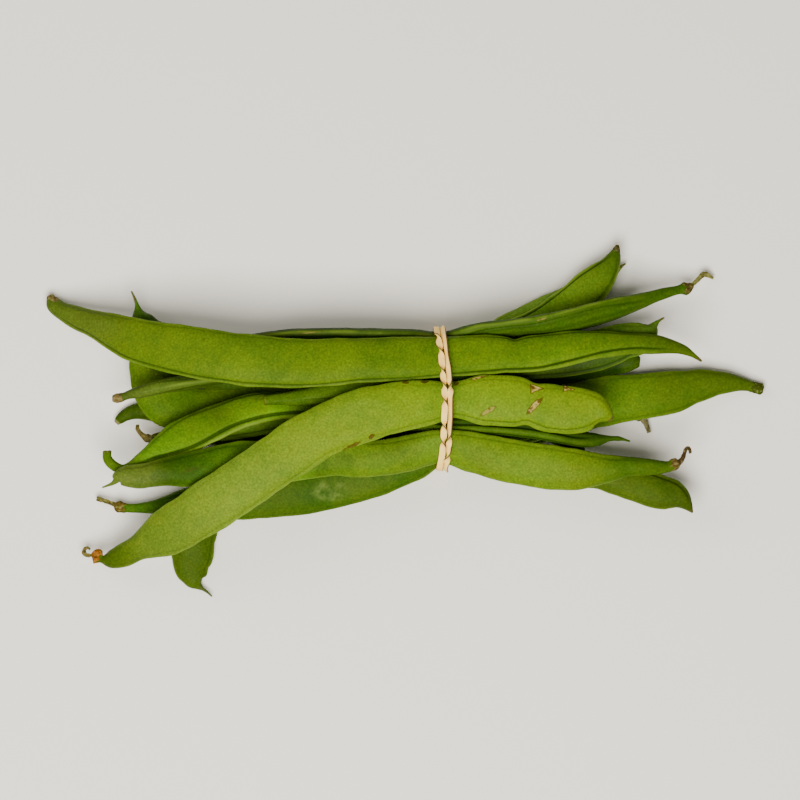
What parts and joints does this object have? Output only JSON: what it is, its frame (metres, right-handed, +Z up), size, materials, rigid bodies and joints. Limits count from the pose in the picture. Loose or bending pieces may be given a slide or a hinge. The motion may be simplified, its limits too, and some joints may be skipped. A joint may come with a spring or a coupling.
{
  "type": "runner bean pod bunch",
  "caption": "Tied bunch of long flat green bean pods lying down, held at the waist by a rubber band wound round twice.",
  "frame": {"origin": "middle of the bunch's outline seen from above, on the surface that it lies on", "axes": "+X along the bunch, towards the free end of the widest lower pod; +Y across it; +Z up"},
  "size_m": [0.2736, 0.1342, 0.039],
  "materials": {
    "pod_deep": "matt pod skin, deep green",
    "pod_fresh": "matt pod skin, fresh green",
    "pod_bright": "matt pod skin, bright yellow-green",
    "pod_pale": "matt pod skin, pale yellow-green",
    "band": "matt natural rubber, cream"
  },
  "bodies": {
    "root": {"pod_floor": "pod_deep", "pod_swept": "pod_fresh", "pod_low_middle": "pod_deep", "pod_low_back": "pod_deep", "pod_back": "pod_fresh", "pod_slim": "pod_fresh", "pod_under_front": "pod_fresh", "pod_hooked": "pod_fresh", "pod_short": "pod_deep", "pod_back_edge": "pod_fresh", "pod_front": "pod_fresh", "pod_crest": "pod_bright", "pod_pale": "pod_pale", "rubber_band": "band"}
  },
  "joints": []
}
